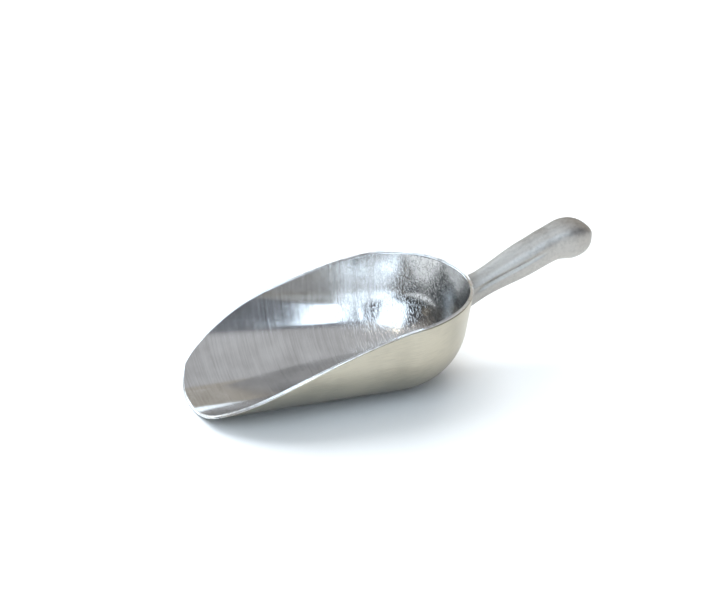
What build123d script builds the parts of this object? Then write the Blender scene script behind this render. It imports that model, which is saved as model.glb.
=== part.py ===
from build123d import *
import os
from math import cos, radians, sin, tan

# Cast aluminium ice scoop, millimetres. X runs from the lip to the handle, Z is up.
# The scoop lies on the flat strip along the bottom of its bowl.

# bowl
bowl_length = 210      # lip to the outside of the rear wall, along X
rim_height = 73        # rim above the table, at the rear wall
wall = 2.4
draft = 7              # lean of the side walls, degrees
heel_flat = 14.9       # half width of the bottom strip where the rear dome starts
heel_radius = 47       # corner between strip and side wall there
lip_flat = 10          # half width of the bottom strip at the lip
lip_radius = 65        # corner there
lip_edge = 1.4         # height of the front edge
nose_radius = 100      # curve of the front edge, seen from above
trim = 30              # how far the blank stands above the rim before it is trimmed

# side view of the rim: share of the length behind the lip, share of the rim height
rim_shape = [(0.04, 0.11), (0.12, 0.26), (0.3, 0.555), (0.5, 0.775), (0.7, 0.92)]

# handle
handle_reach = 98      # rear wall to the end of the handle, along X
handle_rise = 26       # slope of the grip, degrees
handle_drop = 16.4     # centre of the handle below the rim, at the rear wall
root_depth = 12        # handle inside the rear wall before it is coped
bend_radius = 55       # where the grip levels out into the knob
knob_level = 15        # level stretch at the end
knob_cap = 19.5        # length of the rounded end
neck_run = 14          # from the rear wall out to the slimmest place
grip_back = 33         # from the middle of the knob back to the full grip
waist_back = 16        # and back to the waist
root_tall = 20         # at the rear wall, where the casting flares
root_wide = 20
neck_tall = 18.6
neck_wide = 18.8
grip_tall = 23.4
grip_wide = 24
waist_tall = 23.4
waist_wide = 24.2
knob_tall = 27.6
knob_wide = 27
corner_share = 0.8     # corner radius of the handle section against its half size
grip_steps = 9         # evenly spaced sections up to the knob
cap_angles = (20, 38, 53, 65, 74, 80)

# flutes along both sides of the grip
flute_radius = 2.2
flute_depth = 1.5
flute_lift = 2.3       # above the middle of the grip
flute_start = 4        # behind the rear wall, along the grip
flute_length = 66

# worked out from the sizes above
slope = tan(radians(draft))
heel_arc_top = heel_radius * (1 - sin(radians(draft)))
rear_half_width = heel_flat + heel_radius * cos(radians(draft)) + (rim_height - heel_arc_top) * slope
dome_x = bowl_length - rear_half_width
handle_end = bowl_length + handle_reach
root_run = root_depth / cos(radians(handle_rise))


def half_section(at_x, flat, radius, floor):
    """Face of the bowl section from the middle to one side, at a distance behind the lip."""
    top = rim_height + trim
    lean = radians(draft)
    mid = radians(45 - draft / 2)
    arc_end = (flat + radius * cos(lean), floor + radius * (1 - sin(lean)))
    arc_mid = (flat + radius * sin(mid), floor + radius * (1 - cos(mid)))
    side_top = (arc_end[0] + (top - arc_end[1]) * slope, top)
    with BuildSketch(Plane.YZ.offset(at_x)) as section:
        with BuildLine():
            Line((0, floor), (flat, floor))
            ThreePointArc((flat, floor), arc_mid, arc_end)
            Polyline(arc_end, side_top, (0, top), (0, floor))
        make_face()
    return section.sketch


def trough(skin):
    """Trough with a domed rear end, set in from the outside by the given skin."""
    lip = half_section(0, lip_flat, lip_radius - skin, skin)
    heel = half_section(dome_x, heel_flat, heel_radius - skin, skin)
    with BuildPart() as body:
        loft([lip, heel], ruled=True)
        revolve(heel.faces(), axis=Axis((dome_x, 0, 0), (0, 0, -1)), revolution_arc=90)
        mirror(about=Plane.XZ)
    return body.part


def above_rim():
    """Everything above the rim line, seen from the side."""
    points = [(0, lip_edge)]
    points += [(along * bowl_length, up * rim_height) for along, up in rim_shape]
    points += [(bowl_length, rim_height)]
    top = rim_height + 2 * trim
    with BuildPart() as body:
        with BuildSketch(Plane.XZ):
            with BuildLine():
                Spline(points)
                Polyline(points[-1], (bowl_length + trim, rim_height), (bowl_length + trim, top),
                         (-trim, top), (-trim, lip_edge), points[0])
            make_face()
        extrude(amount=2 * rear_half_width, both=True)
    return body.part


def ahead_of_nose():
    """Everything in front of the curved front edge, seen from above."""
    with BuildPart() as body:
        with BuildSketch():
            with Locations((nose_radius / 2 - trim, 0)):
                Rectangle(nose_radius, 2 * nose_radius)
            with Locations((nose_radius, 0)):
                Circle(nose_radius, mode=Mode.SUBTRACT)
        extrude(amount=2 * rim_height, both=True)
    return body.part


outside = trough(0)
inside = trough(wall)

with BuildPart() as bowl:
    add(outside)
    add(inside, mode=Mode.SUBTRACT)
    add(above_rim(), mode=Mode.SUBTRACT)
    add(ahead_of_nose(), mode=Mode.SUBTRACT)
bowl.part.label = "bowl"

# middle line of the handle, from inside the rear wall to the end of the knob
rise = radians(handle_rise)
root_x = bowl_length - root_depth
root_z = rim_height - handle_drop - root_depth * tan(rise)
bend_x = handle_end - knob_level - bend_radius * sin(rise)
bend_z = root_z + (bend_x - root_x) * tan(rise)
knob_z = bend_z + bend_radius * (1 - cos(rise))

with BuildLine(Plane.XZ) as middle:
    Line((root_x, root_z), (bend_x, bend_z))
    JernArc((bend_x, bend_z), (cos(rise), sin(rise)), bend_radius, -handle_rise)
    Line((handle_end - knob_level, knob_z), (handle_end, knob_z))

centre_line = middle.wires()[0]
run = centre_line.length
knob_at = run - knob_cap
stations = [
    (0, root_tall, root_wide),
    (root_run, root_tall, root_wide),
    (root_run + neck_run, neck_tall, neck_wide),
    (knob_at - grip_back, grip_tall, grip_wide),
    (knob_at - waist_back, waist_tall, waist_wide),
    (knob_at, knob_tall, knob_wide),
]


def handle_size(at):
    """Height and width of the handle, eased from one station to the next."""
    for (start, tall, wide), (end, next_tall, next_wide) in zip(stations, stations[1:]):
        if at <= end + 0.001:
            share = min(1, (at - start) / (end - start))
            ease = share * share * (3 - 2 * share)
            return tall + ease * (next_tall - tall), wide + ease * (next_wide - wide)


def handle_section(at, tall, wide):
    """Rounded section square to the middle line."""
    centre = centre_line.position_at(at, position_mode=PositionMode.LENGTH)
    along = centre_line.tangent_at(at, position_mode=PositionMode.LENGTH)
    with BuildSketch(Plane(origin=centre, x_dir=(0, 1, 0), z_dir=along)) as section:
        RectangleRounded(wide, tall, corner_share * min(wide, tall) / 2)
    return section.sketch


def flute_cutter(side):
    """Round bar on an arc that dips into one side of the grip and leaves it at both ends."""
    clear = flute_radius + 0.3
    path = []
    for share, out in ((0, clear), (0.5, flute_radius - flute_depth), (1, clear)):
        at = root_run + flute_start + share * flute_length
        half = handle_size(at)[1] / 2
        x = root_x + at * cos(rise) - flute_lift * sin(rise)
        z = root_z + at * sin(rise) + flute_lift * cos(rise)
        path.append((x, side * (half + out), z))
    with BuildPart() as bar:
        with BuildLine() as arc:
            ThreePointArc(*path)
        with BuildSketch(Plane(origin=arc.line @ 0, z_dir=arc.line % 0)):
            Circle(flute_radius)
        sweep()
    return bar.part


sections = []
for step in range(grip_steps + 1):
    at = knob_at * step / grip_steps
    tall, wide = handle_size(at)
    sections.append(handle_section(at, tall, wide))
for angle in cap_angles:
    shrink = cos(radians(angle))
    at = knob_at + knob_cap * sin(radians(angle))
    sections.append(handle_section(at, knob_tall * shrink, knob_wide * shrink))

with BuildPart() as handle:
    loft(sections)
    for side in (-1, 1):
        add(flute_cutter(side), mode=Mode.SUBTRACT)
    add(outside, mode=Mode.SUBTRACT)
handle.part.label = "handle"

# the row's origin is under the middle of the whole scoop
low_x = bowl.part.bounding_box().min.X
high_x = handle.part.bounding_box().max.X
to_origin = Location((-(low_x + high_x) / 2, 0, 0))

os.makedirs("parts", exist_ok=True)
for piece in (bowl.part, handle.part):
    placed = piece.moved(to_origin)
    placed.label = piece.label
    export_step(placed, f"parts/{piece.label}.step")
    print(piece.label, round(placed.volume), placed.bounding_box())
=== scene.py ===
import bmesh
import bpy
from math import atan2, cos, pi, radians, sin, sqrt, tan
from mathutils import Matrix, Quaternion, Vector


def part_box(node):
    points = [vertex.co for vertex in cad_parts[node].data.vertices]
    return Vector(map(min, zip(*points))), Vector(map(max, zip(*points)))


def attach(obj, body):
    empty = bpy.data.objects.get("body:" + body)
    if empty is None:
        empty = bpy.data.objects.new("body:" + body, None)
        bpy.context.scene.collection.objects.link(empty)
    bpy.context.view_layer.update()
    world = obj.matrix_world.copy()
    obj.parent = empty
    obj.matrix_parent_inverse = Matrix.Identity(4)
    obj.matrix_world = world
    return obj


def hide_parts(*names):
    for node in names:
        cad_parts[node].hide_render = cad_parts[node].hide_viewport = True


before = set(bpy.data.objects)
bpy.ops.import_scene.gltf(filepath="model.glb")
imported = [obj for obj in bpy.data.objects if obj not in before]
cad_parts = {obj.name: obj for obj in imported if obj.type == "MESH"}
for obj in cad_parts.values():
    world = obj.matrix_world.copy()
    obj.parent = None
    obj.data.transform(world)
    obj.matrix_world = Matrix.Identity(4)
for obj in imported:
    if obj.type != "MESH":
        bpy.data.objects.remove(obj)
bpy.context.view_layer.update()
bowlLow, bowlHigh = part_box("bowl")
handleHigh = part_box("handle")[1]
print("frame loaded")

cameraView = {
    "azimuth": -20.50,      # degrees, negative is towards the lip
    "elevation": 26.49,
    "roll": -1.72,
    "distance": 1.245,
    "aim": (-0.0225, 0.0185, 0.0490),
    "lens": 87.19,
}


def makeCamera(view):
    azimuth, elevation, roll = (radians(view[key]) for key in ("azimuth", "elevation", "roll"))
    back = Vector((sin(azimuth) * cos(elevation), -cos(azimuth) * cos(elevation), sin(elevation)))
    right = Vector((cos(azimuth), sin(azimuth), 0))
    up = back.cross(right)
    turnedRight = right * cos(roll) - up * sin(roll)
    turnedUp = right * sin(roll) + up * cos(roll)
    data = bpy.data.cameras.new("camera")
    data.lens = view["lens"]
    data.clip_start = 0.05
    data.clip_end = 20
    camera = bpy.data.objects.new("camera", data)
    place = Matrix((turnedRight, turnedUp, back)).transposed().to_4x4()
    place.translation = Vector(view["aim"]) + back * view["distance"]
    camera.matrix_world = place
    bpy.context.collection.objects.link(camera)
    bpy.context.scene.camera = camera


makeCamera(cameraView)
print("camera placed")

bowlSizes = {
    "length": bowlHigh[0] - bowlLow[0],
    "rimHeight": 0.073,
    "wall": 0.0024,
    "draft": radians(7),
    "heelFlat": 0.0149,
    "heelRadius": 0.047,
    "lipFlat": 0.010,
    "lipRadius": 0.065,
    "noseRadius": 0.100,
    "noseFade": 0.060,      # how far behind the lip the rows still bend with the front edge
    # rim line as shares of the length and of the rim height, then its slope at the lip and at the heel
    "rimShape": ((0, 0.019), (0.04, 0.11), (0.12, 0.26), (0.3, 0.555), (0.5, 0.775), (0.7, 0.92), (1, 1)),
    "rimSlopes": (0.86, 0.07),
    "rimSquare": 0.75,      # 1 is a full round rim, less is flatter on top
    "lipCrowding": 0.65,    # how much closer the rows stand at the lip
    "alongSteps": 90,
    "domeSteps": 56,
    "acrossSteps": 64,
    "rimSteps": 8,
    "brushCentre": 0.090,   # height of the line that the brush marks run round
    "brushRadius": 0.070,
    "mergeWithin": 0.00001,
}
heelArcTop = bowlSizes["heelRadius"] * (1 - sin(bowlSizes["draft"]))
rearHalfWidth = (bowlSizes["heelFlat"] + bowlSizes["heelRadius"] * cos(bowlSizes["draft"])
                 + (bowlSizes["rimHeight"] - heelArcTop) * tan(bowlSizes["draft"]))
domeStart = bowlSizes["length"] - rearHalfWidth


def rimHeightAt(x):
    # smooth curve through the rim points
    length, height = bowlSizes["length"], bowlSizes["rimHeight"]
    points = [(along * length, up * height) for along, up in bowlSizes["rimShape"]]
    x = min(max(x, 0), length)
    slopes = []
    for i in range(len(points)):
        before, after = points[max(i - 1, 0)], points[min(i + 1, len(points) - 1)]
        slopes.append((after[1] - before[1]) / (after[0] - before[0]))
    slopes[0], slopes[-1] = bowlSizes["rimSlopes"]
    for i in range(len(points) - 1):
        (x0, z0), (x1, z1) = points[i], points[i + 1]
        if x <= x1:
            t = (x - x0) / (x1 - x0)
            step = x1 - x0
            startPart = (2 * t ** 3 - 3 * t ** 2 + 1) * z0 + (t ** 3 - 2 * t ** 2 + t) * step * slopes[i]
            endPart = (3 * t ** 2 - 2 * t ** 3) * z1 + (t ** 3 - t ** 2) * step * slopes[i + 1]
            return startPart + endPart
    return points[-1][1]


def rimEdgeAt(x):
    # the rim line lowered by half the wall, square to its slope, to leave room for the rounding
    step = 0.0005
    slope = (rimHeightAt(x + step) - rimHeightAt(x - step)) / (2 * step)
    return rimHeightAt(x) - bowlSizes["wall"] / 2 * sqrt(1 + slope * slope)


def sectionPoint(x, travel):
    # half width and height on the outside of the section at x, a travelled distance from the middle
    share = min(max(x / domeStart, 0), 1)
    flat = bowlSizes["lipFlat"] + share * (bowlSizes["heelFlat"] - bowlSizes["lipFlat"])
    radius = bowlSizes["lipRadius"] + share * (bowlSizes["heelRadius"] - bowlSizes["lipRadius"])
    turn = pi / 2 - bowlSizes["draft"]
    if travel <= flat:
        return travel, 0
    if travel <= flat + radius * turn:
        angle = (travel - flat) / radius
        return flat + radius * sin(angle), radius * (1 - cos(angle))
    rest = travel - flat - radius * turn
    return (flat + radius * sin(turn) + rest * sin(bowlSizes["draft"]),
            radius * (1 - cos(turn)) + rest * cos(bowlSizes["draft"]))


def noseSag(y):
    return bowlSizes["noseRadius"] - sqrt(max(bowlSizes["noseRadius"] ** 2 - y * y, 0))


def troughPoint(rowX, travel):
    # rows near the lip bend with the curved front edge
    fade = max(0, 1 - rowX / bowlSizes["noseFade"]) ** 2
    x = rowX
    for _ in range(6):
        y, z = sectionPoint(x, travel)
        x = rowX + noseSag(y) * fade
    return x, y, z


def domePoint(angle, travel):
    out, z = sectionPoint(domeStart, travel)
    return domeStart + out * sin(angle), out * cos(angle), z


def rowTo(pointAt):
    # points from the middle of a row up to the rim
    low, high = 0.005, 0.2
    for _ in range(40):
        middle = (low + high) / 2
        x, y, z = pointAt(middle)
        if z < rimEdgeAt(x):
            low = middle
        else:
            high = middle
    steps = bowlSizes["acrossSteps"]
    return [Vector(pointAt(low * k / steps)) for k in range(steps + 1)]


def bowlGrid():
    rows = []
    for i in range(bowlSizes["alongSteps"]):
        share = i / bowlSizes["alongSteps"]
        crowding = bowlSizes["lipCrowding"]
        spread = (1 - crowding) * share + crowding * share ** 2
        rowX = bowlSizes["wall"] / 2 + (domeStart - bowlSizes["wall"] / 2) * spread
        rows.append(rowTo(lambda travel: troughPoint(rowX, travel)))
    for i in range(bowlSizes["domeSteps"] + 1):
        angle = pi / 2 * i / bowlSizes["domeSteps"]
        rows.append(rowTo(lambda travel: domePoint(angle, travel)))
    return rows


def gridNormals(rows):
    normals = []
    for i, row in enumerate(rows):
        line = []
        for k, point in enumerate(row):
            along = rows[min(i + 1, len(rows) - 1)][k] - rows[max(i - 1, 0)][k]
            across = row[min(k + 1, len(row) - 1)] - row[max(k - 1, 0)]
            if k == 0 or along.length < 1e-6:
                line.append(Vector((0, 0, -1)))
                continue
            normal = across.cross(along)
            if i == len(rows) - 1:
                normal.y = 0
            line.append(normal.normalized())
        normals.append(line)
    return normals


def makeBowl():
    rows = bowlGrid()
    normals = gridNormals(rows)
    wall = bowlSizes["wall"]
    last = len(rows) - 1
    top = bowlSizes["acrossSteps"]
    vertices, faces, finishes = [], [], []      # finishes: 0 outside, 1 inside, 2 rim
    outer, inner = {}, {}
    for i, row in enumerate(rows):
        for k, point in enumerate(row):
            outer[i, k] = len(vertices)
            vertices.append(point.copy())
            inner[i, k] = len(vertices)
            vertices.append(point - normals[i][k] * wall)
    for i in range(last):
        for k in range(top):
            a, b, c, d = (i, k), (i + 1, k), (i + 1, k + 1), (i, k + 1)
            faces.append([outer[a], outer[d], outer[c], outer[b]])
            faces.append([inner[a], inner[b], inner[c], inner[d]])
            finishes += [0, 1]
    # rounded rim: from the middle of the front edge, up to the corner, back along the side
    edge = [(0, k) for k in range(top)] + [(i, top) for i in range(last + 1)]
    loops = []
    for n, (i, k) in enumerate(edge):
        before = edge[max(n - 1, 0)]
        after = edge[min(n + 1, len(edge) - 1)]
        along = (rows[after[0]][after[1]] - rows[before[0]][before[1]]).normalized()
        if n == 0:
            along = Vector((0, 1, 0))
        if n == len(edge) - 1:
            along = Vector((0, -1, 0))
        normal = normals[i][k]
        out = normal.cross(along).normalized()
        centre = rows[i][k] - normal * wall / 2
        loop = [outer[i, k]]
        for step in range(1, bowlSizes["rimSteps"]):
            angle = pi * step / bowlSizes["rimSteps"]
            power = bowlSizes["rimSquare"]
            side = abs(cos(angle)) ** power * (1 if cos(angle) > 0 else -1)
            loop.append(len(vertices))
            outward = sin(angle) ** power
            vertices.append(centre + normal * side * wall / 2 + out * outward * wall / 2)
        loop.append(inner[i, k])
        loops.append(loop)
    for one, two in zip(loops, loops[1:]):
        for step in range(bowlSizes["rimSteps"]):
            faces.append([one[step], one[step + 1], two[step + 1], two[step]])
            finishes.append(2)
    # the other half is the mirror image
    count = len(vertices)
    vertices += [Vector((v.x, -v.y, v.z)) for v in vertices]
    faces += [[count + index for index in reversed(face)] for face in faces]
    for v in vertices:
        v.x += bowlLow[0]
    mesh = bpy.data.meshes.new("bowlShell")
    mesh.from_pydata(vertices, [], faces)
    mesh.polygons.foreach_set("material_index", finishes * 2)
    return mesh


def mergeAndSmooth(mesh):
    work = bmesh.new()
    work.from_mesh(mesh)
    bmesh.ops.remove_doubles(work, verts=work.verts, dist=bowlSizes["mergeWithin"])
    bmesh.ops.dissolve_degenerate(work, edges=work.edges, dist=bowlSizes["mergeWithin"] / 10)
    for face in work.faces:
        face.smooth = True
    work.to_mesh(mesh)
    openEdges = sum(1 for edge in work.edges if not edge.is_manifold)
    volume = work.calc_volume(signed=True)
    work.free()
    print(mesh.name, len(mesh.polygons), "faces,", openEdges, "open edges,", round(volume * 1e6, 1), "cm3")


def brushMap(mesh):
    # u runs along the scoop and v round its section, both in metres
    layer = mesh.uv_layers.new(name="brush")
    for loop in mesh.loops:
        point = mesh.vertices[loop.vertex_index].co
        turn = atan2(point.y, bowlSizes["brushCentre"] - point.z)
        layer.data[loop.index].uv = (point.x, turn * bowlSizes["brushRadius"])


bowlMesh = makeBowl()
mergeAndSmooth(bowlMesh)
brushMap(bowlMesh)
bowl = bpy.data.objects.new("bowlShell", bowlMesh)
bpy.context.collection.objects.link(bowl)
print("bowl made")

handleSizes = {
    "dropBelowRim": 0.0164,     # middle line of the handle below the rim, at the rear end of the bowl
    "rise": radians(26),
    "bendRadius": 0.055,
    "level": 0.015,
    "rootTall": 0.0200, "rootWide": 0.0200,
    "neckTall": 0.0186, "neckWide": 0.0188,
    "gripTall": 0.0234, "gripWide": 0.0240,
    "waistTall": 0.0234, "waistWide": 0.0242,
    "knobTall": 0.0276, "knobWide": 0.0270,
    "rootLength": 0.0023,
    "neckLength": 0.0140,
    "gripBack": 0.0330,
    "waistBack": 0.0160,
    "capLength": 0.0195,
    "bodyRows": 0.8,            # share of the rows before the rounded end
    "squareness": 2.6,          # 2 is an oval section
    "knobSquareness": 3.1,
    "rootFlare": 0.0006,
    "flareLength": 0.004,
    "rootFade": 0.022,          # how far from the wall the sections still lean with it
    "fluteLift": 0.0023,
    "fluteHalfWidth": 0.0017,
    "fluteDepth": 0.0019,
    "ledge": 0.0008,            # how far the grip below the flute is set back
    "fluteStart": 0.0050,
    "fluteLength": 0.0660,
    "fluteSquareness": 3.5,     # 2 is a round groove
    "fluteTaper": 2.4,          # more keeps the full depth nearer the ends
    "upperEdge": 0.85,          # where the two lines of painted shade along the flute's edges lie, in half widths
    "lowerEdge": 0.95,
    "edgeSharpness": 9.0,
    "lowerEdgeShare": 0.75,
    "wallLean": tan(bowlSizes["draft"]),
    "wallRound": rearHalfWidth,
    "rows": 170,
    "around": 240,
}


class Tree:
    # short calls for building a node tree
    def __init__(self, tree):
        self.tree = tree

    def node(self, kind, values=None, inputs=None, **settings):
        made = self.tree.nodes.new(kind)
        for key, value in settings.items():
            setattr(made, key, value)
        for key, value in (values or {}).items():
            made.inputs[key].default_value = value
        for key, source in (inputs or {}).items():
            self.tree.links.new(source, made.inputs[key])
        return made

    def math(self, operation, *parts):
        made = self.tree.nodes.new("ShaderNodeMath")
        made.operation = operation
        for index, part in enumerate(parts):
            if isinstance(part, (int, float)):
                made.inputs[index].default_value = part
            else:
                self.tree.links.new(part, made.inputs[index])
        return made.outputs[0]

    def vector(self, operation, one, two=None, scale=None):
        made = self.tree.nodes.new("ShaderNodeVectorMath")
        made.operation = operation
        self.tree.links.new(one, made.inputs[0])
        if isinstance(two, tuple):
            made.inputs[1].default_value = two
        elif two is not None:
            self.tree.links.new(two, made.inputs[1])
        if scale is not None:
            self.tree.links.new(scale, made.inputs["Scale"])
        return made.outputs[0]

    def ease(self, value, start, end, low=0.0, high=1.0, smooth=True):
        made = self.tree.nodes.new("ShaderNodeMapRange")
        made.interpolation_type = "SMOOTHSTEP" if smooth else "LINEAR"
        for index, part in enumerate((value, start, end, low, high)):
            if isinstance(part, (int, float)):
                made.inputs[index].default_value = part
            else:
                self.tree.links.new(part, made.inputs[index])
        return made.outputs[0]

    def power(self, value, exponent):
        # keeps the sign
        size = self.math("POWER", self.math("ABSOLUTE", value), exponent)
        return self.math("MULTIPLY", self.math("SIGN", value), size)

    def weigh(self, one, share, two):
        # a share of the first and the rest of the second
        return self.math("ADD", self.math("MULTIPLY", one, share), self.math("MULTIPLY", two, 1 - share))

    def blend(self, factor, one, two, kind="MIX"):
        made = self.node("ShaderNodeMix", data_type="RGBA", blend_type=kind)
        for socket, part in ((made.inputs["Factor"], factor), (made.inputs[6], one), (made.inputs[7], two)):
            if isinstance(part, tuple):
                socket.default_value = (*part, 1)
            elif isinstance(part, (int, float)):
                socket.default_value = part
            else:
                self.tree.links.new(part, socket)
        return made.outputs[2]

    def hump(self, value, exponent, steepness=1.0):
        # 1 in the middle, falling away to 0 on both sides
        away = self.math("POWER", self.math("ABSOLUTE", value), exponent)
        return self.math("EXPONENT", self.math("MULTIPLY", self.math("MULTIPLY", away, steepness), -1))


def makeHandleTree(sizes, metal):
    tree = bpy.data.node_groups.new("handleSweep", "GeometryNodeTree")
    tree.interface.new_socket("Path", in_out="INPUT", socket_type="NodeSocketGeometry")
    for name, value in sizes.items():
        kind = "NodeSocketInt" if name in ("rows", "around") else "NodeSocketFloat"
        tree.interface.new_socket(name, in_out="INPUT", socket_type=kind).default_value = value
    tree.interface.new_socket("Handle", in_out="OUTPUT", socket_type="NodeSocketGeometry")
    t = Tree(tree)
    given = t.node("NodeGroupInput").outputs
    corner = {"Curve": given["Path"], "Radius": given["bendRadius"]}
    path = t.node("GeometryNodeFilletCurve", {"Count": 32}, corner, mode="POLY").outputs[0]
    length = t.node("GeometryNodeCurveLength", inputs={"Curve": path}).outputs[0]
    grid = t.node("GeometryNodeMeshGrid", inputs={"Vertices X": given["rows"], "Vertices Y": given["around"]})
    position = t.node("GeometryNodeInputPosition").outputs[0]
    place = t.node("ShaderNodeSeparateXYZ", inputs={0: position}).outputs
    along = t.math("ADD", place["X"], 0.5)
    turn = t.math("MULTIPLY", t.math("ADD", place["Y"], 0.5), 2 * pi)
    # distance from the wall, and how much of the full section is left in the rounded end
    firstRow = t.math("DIVIDE", 1, t.math("SUBTRACT", given["rows"], 1))
    bodyLength = t.math("SUBTRACT", length, given["capLength"])
    capAngle = t.ease(along, given["bodyRows"], 1.0, 0.0, pi / 2, smooth=False)
    body = t.math("MULTIPLY", t.ease(along, firstRow, given["bodyRows"], smooth=False), bodyLength)
    travel = t.math("ADD", body, t.math("MULTIPLY", given["capLength"], t.math("SINE", capAngle)))
    pastStart = t.math("GREATER_THAN", along, t.math("MULTIPLY", firstRow, 0.5))
    left = t.math("MULTIPLY", t.math("COSINE", capAngle), pastStart)
    # sizes eased from one station to the next
    neckAt = t.math("ADD", given["rootLength"], given["neckLength"])
    gripAt = t.math("SUBTRACT", bodyLength, given["gripBack"])
    waistAt = t.math("SUBTRACT", bodyLength, given["waistBack"])
    stations = ((given["rootLength"], neckAt, "root", "neck"), (neckAt, gripAt, "neck", "grip"),
                (gripAt, waistAt, "grip", "waist"), (waistAt, bodyLength, "waist", "knob"))
    halves = []
    for way in ("Tall", "Wide"):
        size = given["root" + way]
        for start, end, one, two in stations:
            change = t.math("SUBTRACT", given[two + way], given[one + way])
            size = t.math("ADD", size, t.math("MULTIPLY", t.ease(travel, start, end), change))
        flare = t.math("MULTIPLY", given["rootFlare"], t.ease(travel, 0.0, given["flareLength"], 1.0, 0.0))
        halves.append(t.math("MULTIPLY", t.math("ADD", t.math("MULTIPLY", size, 0.5), flare), left))
    halfTall, halfWide = halves
    # rounded square section
    square = t.ease(travel, gripAt, bodyLength, given["squareness"], given["knobSquareness"])
    bend = t.math("DIVIDE", 2, square)
    side = t.math("MULTIPLY", t.power(t.math("COSINE", turn), bend), halfWide)
    lift = t.math("MULTIPLY", t.power(t.math("SINE", turn), bend), halfTall)
    # a flute down each side, deepest at the middle of its length
    across = t.math("DIVIDE", t.math("SUBTRACT", lift, given["fluteLift"]), given["fluteHalfWidth"])
    groove = t.hump(across, given["fluteSquareness"])
    share = t.math("DIVIDE", t.math("SUBTRACT", travel, given["fluteStart"]), given["fluteLength"])
    fromMiddle = t.math("SUBTRACT", t.math("MULTIPLY", share, 2), 1)
    ends = t.math("SUBTRACT", 1, t.math("POWER", t.math("ABSOLUTE", fromMiddle), given["fluteTaper"]))
    ends = t.math("MAXIMUM", ends, 0)
    depth = t.math("MULTIPLY", given["fluteDepth"], ends)
    # the grip below the flute is set back, fading out at the underside
    lowLedge = t.math("MULTIPLY", t.ease(across, 0.9, -0.5), t.ease(lift, -0.012, -0.004))
    lowLedge = t.math("MULTIPLY", t.math("MULTIPLY", given["ledge"], lowLedge), ends)
    cut = t.math("ADD", t.math("MULTIPLY", depth, groove), lowLedge)
    facing = t.math("COMPARE", t.math("ABSOLUTE", t.math("COSINE", turn)), 1, 0.9)
    inward = t.math("MULTIPLY", t.math("MULTIPLY", cut, t.math("SIGN", side)), facing)
    side = t.math("SUBTRACT", side, inward)
    # painted shade along the flute's two edges, standing in for the shadow under its lips
    upperEdge = t.hump(t.math("SUBTRACT", across, given["upperEdge"]), 2.0, given["edgeSharpness"])
    lowerEdge = t.hump(t.math("ADD", across, given["lowerEdge"]), 2.0, given["edgeSharpness"])
    lowerEdge = t.math("MULTIPLY", lowerEdge, given["lowerEdgeShare"])
    fluteShade = t.math("MULTIPLY", t.math("MAXIMUM", upperEdge, lowerEdge), ends)
    # the root follows the leaning, rounded wall
    sine, cosine = sin(sizes["rise"]), cos(sizes["rise"])
    slope = t.math("ADD", t.math("MULTIPLY", given["wallLean"], cosine), sine)
    wallRound = t.math("DIVIDE", t.math("MULTIPLY", side, side), t.math("MULTIPLY", given["wallRound"], 2))
    back = t.math("SUBTRACT", t.math("MULTIPLY", lift, slope), wallRound)
    back = t.math("DIVIDE", back, t.math("SUBTRACT", cosine, t.math("MULTIPLY", given["wallLean"], sine)))
    back = t.math("MULTIPLY", back, t.ease(travel, 0.0, given["rootFade"], 1.0, 0.0))
    # along the path
    sample = t.node("GeometryNodeSampleCurve", inputs={"Curves": path, "Length": travel}, mode="LENGTH")
    forward = sample.outputs["Tangent"]
    upward = t.vector("CROSS_PRODUCT", forward, (0, 1, 0))
    sideways = t.node("ShaderNodeCombineXYZ", inputs={"Y": side}).outputs[0]
    point = t.vector("ADD", sample.outputs["Position"], t.vector("SCALE", upward, scale=lift))
    point = t.vector("ADD", point, t.vector("SCALE", forward, scale=back))
    point = t.vector("ADD", point, sideways)
    shaped = t.node("GeometryNodeSetPosition", inputs={"Geometry": grid.outputs["Mesh"], "Position": point})
    marked = t.node("GeometryNodeStoreNamedAttribute", {"Name": "travel"}, {"Geometry": shaped.outputs[0]},
                    data_type="FLOAT", domain="POINT")
    tree.links.new(travel, marked.inputs["Value"])
    # stores the flute's painted shade mask for the handle's material
    shadeStored = t.node("GeometryNodeStoreNamedAttribute", {"Name": "fluteShade"}, {"Geometry": marked.outputs[0]},
                     data_type="FLOAT", domain="POINT")
    tree.links.new(fluteShade, shadeStored.inputs["Value"])
    merged = t.node("GeometryNodeMergeByDistance", {"Distance": 0.00001}, {"Geometry": shadeStored.outputs[0]})
    outward = t.node("GeometryNodeFlipFaces", inputs={"Mesh": merged.outputs[0]})
    smooth = t.node("GeometryNodeSetShadeSmooth", inputs={"Geometry": outward.outputs[0]})
    realized = t.node("GeometryNodeRealizeInstances", inputs={"Geometry": smooth.outputs[0]})
    dressed = t.node("GeometryNodeSetMaterial", {"Material": metal}, {"Geometry": realized.outputs[0]})
    t.node("NodeGroupOutput", inputs={0: dressed.outputs[0]})
    return tree


def handlePath(sizes):
    # start inside the rear wall, then the corner that the bend rounds off, then the end of the knob
    rise = sizes["rise"]
    insideWall = bowlSizes["wall"] / 2
    drop = (sizes["dropBelowRim"] + insideWall * tan(rise)) / (1 - sizes["wallLean"] * tan(rise))
    startZ = bowlSizes["rimHeight"] - drop
    wallX = bowlHigh[0] - drop * sizes["wallLean"] - insideWall
    cornerX = handleHigh[0] - sizes["level"] - sizes["bendRadius"] * tan(rise / 2)
    cornerZ = startZ + (cornerX - wallX) * tan(rise)
    curve = bpy.data.curves.new("handlePath", "CURVE")
    curve.dimensions = "3D"
    spline = curve.splines.new("POLY")
    spline.points.add(2)
    for item, at in zip(spline.points, ((wallX, startZ), (cornerX, cornerZ), (handleHigh[0], cornerZ))):
        item.co = (at[0], 0, at[1], 1)
    return curve


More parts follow.
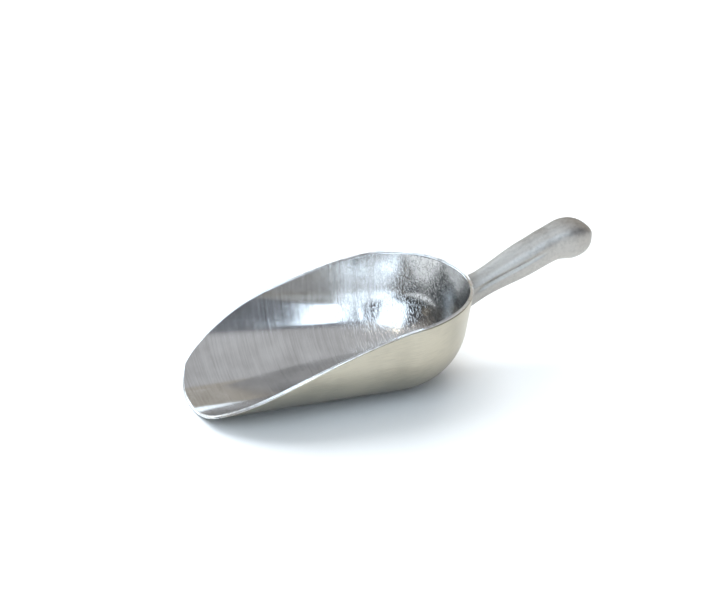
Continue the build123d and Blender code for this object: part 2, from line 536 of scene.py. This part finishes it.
def sweepHandle(sizes, metal):
    carrier = bpy.data.objects.new("handlePath", handlePath(sizes))
    bpy.context.collection.objects.link(carrier)
    sweep = carrier.modifiers.new("sweep", "NODES")
    sweep.node_group = makeHandleTree(sizes, metal)
    for item in sweep.node_group.interface.items_tree:
        if item.in_out == "INPUT" and item.name in sizes:
            sweep[item.identifier] = sizes[item.name]
    ready = carrier.evaluated_get(bpy.context.evaluated_depsgraph_get())
    mesh = bpy.data.meshes.new_from_object(ready)
    mesh.name = "handleGrip"
    bpy.data.objects.remove(carrier)
    handle = bpy.data.objects.new("handleGrip", mesh)
    bpy.context.collection.objects.link(handle)
    return handle


class Finish(Tree):
    # a metal with its shader ready
    def __init__(self, name):
        material = bpy.data.materials.new(name)
        material.use_nodes = True
        super().__init__(material.node_tree)
        self.material = material
        self.shader = material.node_tree.nodes["Principled BSDF"]
        self.shader.inputs["Metallic"].default_value = 1
        self.object = self.node("ShaderNodeTexCoord").outputs["Object"]

    def scaled(self, source, scale, turn=(0, 0, 0)):
        values = {"Scale": scale, "Rotation": turn}
        return self.node("ShaderNodeMapping", values, {"Vector": source}).outputs[0]

    def noise(self, source, scale=1.0, detail=4.0, rough=0.55):
        values = {"Scale": scale, "Detail": detail, "Roughness": rough}
        return self.node("ShaderNodeTexNoise", values, {"Vector": source}).outputs["Fac"]

    def tones(self, factor, *stops):
        ramp = self.node("ShaderNodeValToRGB", inputs={"Fac": factor})
        while len(ramp.color_ramp.elements) < len(stops):
            ramp.color_ramp.elements.new(0.5)
        for element, (at, colour) in zip(ramp.color_ramp.elements, stops):
            element.position = at
            element.color = (*colour, 1)
        return ramp.outputs["Color"]

    def shaded(self, colour, amount):
        grey = self.node("ShaderNodeCombineColor", inputs={0: amount, 1: amount, 2: amount}).outputs[0]
        return self.blend(1.0, colour, grey, "MULTIPLY")

    def bump(self, height, strength, distance, below=None):
        inputs = {"Height": height}
        if below is not None:
            inputs["Normal"] = below
        return self.node("ShaderNodeBump", {"Strength": strength, "Distance": distance}, inputs).outputs[0]

    def wire(self, **sources):
        for name, source in sources.items():
            self.tree.links.new(source, self.shader.inputs[name.replace("_", " ")])


insideLook = {
    "pale": (0.70, 0.70, 0.70),
    "dull": (0.49, 0.487, 0.482),
    "smooth": 0.12,
    "rough": 0.20,
    "anisotropy": 0.2,
    "fineBrush": (3200, 45, 1),         # brush marks to the metre, along and round
    "coarseBrush": (700, 14, 1),
    "scratchShine": (0.93, 0.92, 0.88),
    "scratchGrain": (1100, 60, 300),
    "scratchTurns": ((0.6, 0.0), (-0.5, 3.1), (1.4, 7.7)),
    "scratchedFrom": -0.045,            # x where the scratches start to show, and where they are full
    "scratchedTo": 0.005,
    "frontScratches": 0.03,             # what is left of them towards the lip
    "waveBump": (0.4, 0.0009),          # each bump is its strength and its depth in metres
    "coarseBump": (0.22, 0.00006),
    "fineBump": (0.2, 0.00003),
    "scratchBump": (0.4, 0.00014),
}


def makeInsideMetal(look):
    metal = Finish("brushedInside")
    brush = metal.node("ShaderNodeUVMap", uv_map="brush").outputs[0]
    fine = metal.noise(metal.scaled(brush, look["fineBrush"]), detail=3)
    coarse = metal.noise(metal.scaled(brush, look["coarseBrush"]), detail=3)
    cloud = metal.noise(metal.object, 38, 3)
    wave = metal.noise(metal.object, 20, 2)
    where = metal.node("ShaderNodeSeparateXYZ", inputs={0: metal.object}).outputs["X"]
    rear = metal.ease(where, look["scratchedFrom"], look["scratchedTo"])
    scratches = None
    for turn, twist in look["scratchTurns"]:
        turned = metal.scaled(metal.object, look["scratchGrain"], (0.3, turn, turn + twist))
        line = metal.ease(metal.noise(turned, detail=2), 0.56, 0.66)
        scratches = line if scratches is None else metal.math("MAXIMUM", scratches, line)
    scratches = metal.math("MULTIPLY", scratches, metal.ease(rear, 0.0, 1.0, look["frontScratches"], 1.0))
    streak = metal.weigh(fine, 0.5, coarse)
    tone = metal.weigh(streak, 0.6, cloud)
    colour = metal.tones(tone, (0.36, look["dull"]), (0.60, look["pale"]))
    colour = metal.blend(metal.math("MULTIPLY", scratches, 0.35), colour, look["scratchShine"])
    wear = metal.weigh(streak, 0.5, cloud)
    roughness = metal.ease(wear, 0.35, 0.65, look["smooth"], look["rough"])
    bump = metal.bump(wave, *look["waveBump"])
    bump = metal.bump(coarse, *look["coarseBump"], bump)
    bump = metal.bump(fine, *look["fineBump"], bump)
    bump = metal.bump(scratches, *look["scratchBump"], bump)
    metal.wire(Base_Color=colour, Roughness=roughness, Normal=bump)
    metal.shader.inputs["Anisotropic"].default_value = look["anisotropy"]
    tangent = metal.node("ShaderNodeTangent", direction_type="UV_MAP", uv_map="brush")
    metal.tree.links.new(tangent.outputs[0], metal.shader.inputs["Tangent"])
    return metal.material


outsideLook = {
    "pale": (0.58, 0.535, 0.435),
    "dull": (0.46, 0.425, 0.345),
    "lowShadeTone": 0.48,            # painted shade: how dark the colour is made at the bottom, where the low wall reflects the shaded floor, and the height where that ends
    "lowShadeTop": 0.040,
    "smooth": 0.30,
    "rough": 0.42,
    "grain": 900,
    "polish": (90, 1600, 1),
    "waveBump": (0.4, 0.0009),
    "polishBump": (0.25, 0.00004),
    "grainBump": (0.25, 0.00006),
}


def makeOutsideMetal(look):
    metal = Finish("castOutside")
    brush = metal.node("ShaderNodeUVMap", uv_map="brush").outputs[0]
    grain = metal.noise(metal.object, look["grain"], 3)
    cloud = metal.noise(metal.object, 30, 4)
    wave = metal.noise(metal.object, 16, 2)
    polish = metal.noise(metal.scaled(brush, look["polish"]), detail=3)
    tone = metal.weigh(cloud, 0.6, polish)
    colour = metal.tones(tone, (0.38, look["dull"]), (0.60, look["pale"]))
    height = metal.node("ShaderNodeSeparateXYZ", inputs={0: metal.object}).outputs["Z"]
    # painted shade: the outside darkens towards the bottom, standing in for the shaded floor it reflects
    colour = metal.shaded(colour, metal.ease(height, 0.0, look["lowShadeTop"], look["lowShadeTone"], 1.0))
    wear = metal.weigh(grain, 0.4, cloud)
    roughness = metal.ease(wear, 0.35, 0.65, look["smooth"], look["rough"])
    bump = metal.bump(wave, *look["waveBump"])
    bump = metal.bump(polish, *look["polishBump"], bump)
    bump = metal.bump(grain, *look["grainBump"], bump)
    metal.wire(Base_Color=colour, Roughness=roughness, Normal=bump)
    return metal.material


rimLook = {
    "pale": (0.88, 0.88, 0.87),
    "dull": (0.62, 0.61, 0.60),
    "smooth": 0.16,
    "rough": 0.36,
    "nicks": 260,
    "nickBump": (0.25, 0.00015),
}


def makeRimMetal(look):
    metal = Finish("wornRim")
    nicks = metal.noise(metal.object, look["nicks"], 4)
    cloud = metal.noise(metal.object, 60, 3)
    colour = metal.tones(nicks, (0.30, look["dull"]), (0.46, look["pale"]))
    roughness = metal.ease(cloud, 0.35, 0.65, look["smooth"], look["rough"])
    bump = metal.bump(nicks, *look["nickBump"])
    metal.wire(Base_Color=colour, Roughness=roughness, Normal=bump)
    return metal.material


handleLook = {
    "pale": (0.57, 0.545, 0.51),
    "dull": (0.42, 0.40, 0.375),
    "rootShadeTone": 0.78,           # painted shade: how dark the colour is made at the bowl wall, and how far along that ends
    "rootShadeReach": 0.085,
    # painted shade: how dark the flute's edges are made
    "fluteShadeTone": 0.30,
    "smooth": 0.42,
    "rough": 0.60,
    "grain": 1100,
    "pits": 420,
    "cloudBump": (0.3, 0.0008),
    "pitBump": (0.3, 0.00015),
    "grainBump": (0.3, 0.00006),
}


def makeHandleMetal(look):
    metal = Finish("castHandle")
    grain = metal.noise(metal.object, look["grain"], 3)
    pits = metal.noise(metal.object, look["pits"], 3)
    cloud = metal.noise(metal.object, 45, 4)
    tone = metal.weigh(cloud, 0.45, pits)
    colour = metal.tones(tone, (0.36, look["dull"]), (0.58, look["pale"]))
    travel = metal.node("ShaderNodeAttribute", attribute_name="travel").outputs["Fac"]
    # painted shade: the handle darkens towards its root at the bowl wall
    colour = metal.shaded(colour, metal.ease(travel, 0.0, look["rootShadeReach"], look["rootShadeTone"], 1.0))
    # painted shade: darkens the flute's two edges as shadow
    fluteShade = metal.node("ShaderNodeAttribute", attribute_name="fluteShade").outputs["Fac"]
    colour = metal.shaded(colour, metal.ease(fluteShade, 0.0, 1.0, 1.0, look["fluteShadeTone"], smooth=False))
    roughness = metal.ease(tone, 0.35, 0.65, look["smooth"], look["rough"])
    bump = metal.bump(cloud, *look["cloudBump"])
    bump = metal.bump(pits, *look["pitBump"], bump)
    bump = metal.bump(grain, *look["grainBump"], bump)
    metal.wire(Base_Color=colour, Roughness=roughness, Normal=bump)
    return metal.material


for metal in (makeOutsideMetal(outsideLook), makeInsideMetal(insideLook), makeRimMetal(rimLook)):
    bowlMesh.materials.append(metal)
handle = sweepHandle(handleSizes, makeHandleMetal(handleLook))
print("handle made,", len(handle.data.polygons), "faces")

for piece, slot, node in ((bowl, "bowl_metal", "bowl"), (handle, "handle_metal", "handle")):
    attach(piece, "root")
    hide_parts(node)

studio = {
    "paper": (0.86, 0.86, 0.85),
    "ceiling": (0.62, 0.63, 0.65),
    "frontWall": (0.20, 0.21, 0.235),
    "backWall": (0.50, 0.47, 0.42),
    "lipSide": (0.30, 0.30, 0.32),
    "floorReach": 6,
    "floorHeight": -0.0002,     # just clear of the scoop's flat strip
    "flagCorners": [(-0.7, -0.75, 0), (-0.9, 0.7, 0), (-0.9, 0.7, 0.30), (-0.7, -0.75, 0.26)],
    "flagTone": 0.05,
}


def makePlane(name, corners, colour, roughness):
    mesh = bpy.data.meshes.new(name)
    mesh.from_pydata(corners, [], [(0, 1, 2, 3)])
    plane = bpy.data.objects.new(name, mesh)
    bpy.context.collection.objects.link(plane)
    material = bpy.data.materials.new(name)
    material.use_nodes = True
    shader = material.node_tree.nodes["Principled BSDF"]
    shader.inputs["Base Color"].default_value = (*colour, 1)
    shader.inputs["Roughness"].default_value = roughness
    mesh.materials.append(material)
    return plane, shader


def makeFloor(look):
    reach, height = look["floorReach"], look["floorHeight"]
    corners = [(x * reach, y * reach, height) for x, y in ((-1, -1), (1, -1), (1, 1), (-1, 1))]
    plane, shader = makePlane("floor", corners, look["paper"], 0.9)
    shader.inputs["Specular IOR Level"].default_value = 0.1


def makeRoom(look):
    # a soft room: pale overhead, darker walls in front and behind
    world = bpy.data.worlds.new("studio")
    bpy.context.scene.world = world
    world.use_nodes = True
    t = Tree(world.node_tree)
    background = world.node_tree.nodes["Background"]
    direction = t.node("ShaderNodeTexCoord").outputs["Generated"]
    parts = t.node("ShaderNodeSeparateXYZ", inputs={0: direction}).outputs
    behind = t.ease(parts["Y"], -0.15, 0.15)
    top = t.ease(behind, 0.0, 1.0, 0.80, 0.62)
    overhead = t.ease(t.math("SUBTRACT", parts["Z"], top), -0.03, 0.03)
    walls = t.blend(behind, look["frontWall"], look["backWall"])
    room = t.blend(overhead, walls, look["ceiling"])
    # the room is darker beyond the lip
    low = t.ease(parts["Z"], 0.35, 0.65, 1.0, 0.0)
    beyondLip = t.math("MULTIPLY", t.ease(parts["X"], -0.45, -0.75), low)
    room = t.blend(beyondLip, room, look["lipSide"], "MULTIPLY")
    t.tree.links.new(room, background.inputs["Color"])
    background.inputs["Strength"].default_value = 1.0


def makeLight(name, place, aim, size, glow, colour, lean=0, mirrored=True):
    data = bpy.data.lights.new(name, "AREA")
    data.shape = "RECTANGLE"
    data.size, data.size_y = size
    data.energy = glow * pi * size[0] * size[1]
    data.color = colour
    light = bpy.data.objects.new(name, data)
    light.location = place
    facing = (Vector(aim) - Vector(place)).to_track_quat("-Z", "Y")
    light.rotation_euler = (facing @ Quaternion((0, 0, 1), radians(lean))).to_euler()
    light.visible_camera = False
    light.visible_glossy = mirrored
    bpy.context.collection.objects.link(light)


def makeFlag(name, corners, tone):
    # a dark card that only shows in the metal
    flag = makePlane(name, corners, (tone, tone, tone), 1)[0]
    flag.visible_camera = False
    flag.visible_diffuse = False
    flag.visible_shadow = False


cool, warm, plain = (0.72, 0.86, 1.0), (1.0, 0.90, 0.72), (1.0, 0.99, 0.97)
# glow is the brightness of the panel itself, lean turns it about its own axis in degrees
lights = {
    "windowLeft": {"place": (0.068, -0.30, 0.21), "aim": (-0.05, 0.06, 0.03), "size": (0.026, 0.32),
                   "glow": 8.0, "colour": cool, "lean": -10},
    "windowRight": {"place": (-0.80, -0.90, 0.90), "aim": (0.01, 0.05, 0.03), "size": (0.95, 1.5),
                    "glow": 2.8, "colour": cool},
    "behindRight": {"place": (0.08, 0.90, 0.30), "aim": (-0.06, 0.0, 0.03), "size": (0.16, 0.25),
                    "glow": 1.6, "colour": cool},
    "behindLeft": {"place": (-0.68, 0.90, 0.62), "aim": (0.01, 0.0, 0.04), "size": (0.85, 0.60),
                   "glow": 4.6, "colour": cool},
    "behindHigh": {"place": (-0.70, 0.90, 2.1), "aim": (0.01, 0.0, 0.04), "size": (0.8, 1.2),
                   "glow": 2.4, "colour": cool},
    "lampSide": {"place": (-1.50, 0.02, 0.38), "aim": (0.04, 0.03, 0.03), "size": (0.12, 0.12),
                 "glow": 8.0, "colour": warm},
    "lampFar": {"place": (-0.55, -0.20, 1.25), "aim": (0.01, 0.04, 0.01), "size": (0.14, 0.08),
                "glow": 8.0, "colour": warm},
    "overhead": {"place": (0.35, 1.30, 2.3), "aim": (0, 0, 0), "size": (2.2, 2.2),
                 "glow": 3.6, "colour": plain, "mirrored": False},
}
makeFloor(studio)
makeRoom(studio)
makeFlag("flagLip", studio["flagCorners"], studio["flagTone"])
for name, light in lights.items():
    makeLight(name, **light)
bpy.context.scene.view_settings.view_transform = "Standard"
print("studio lit")
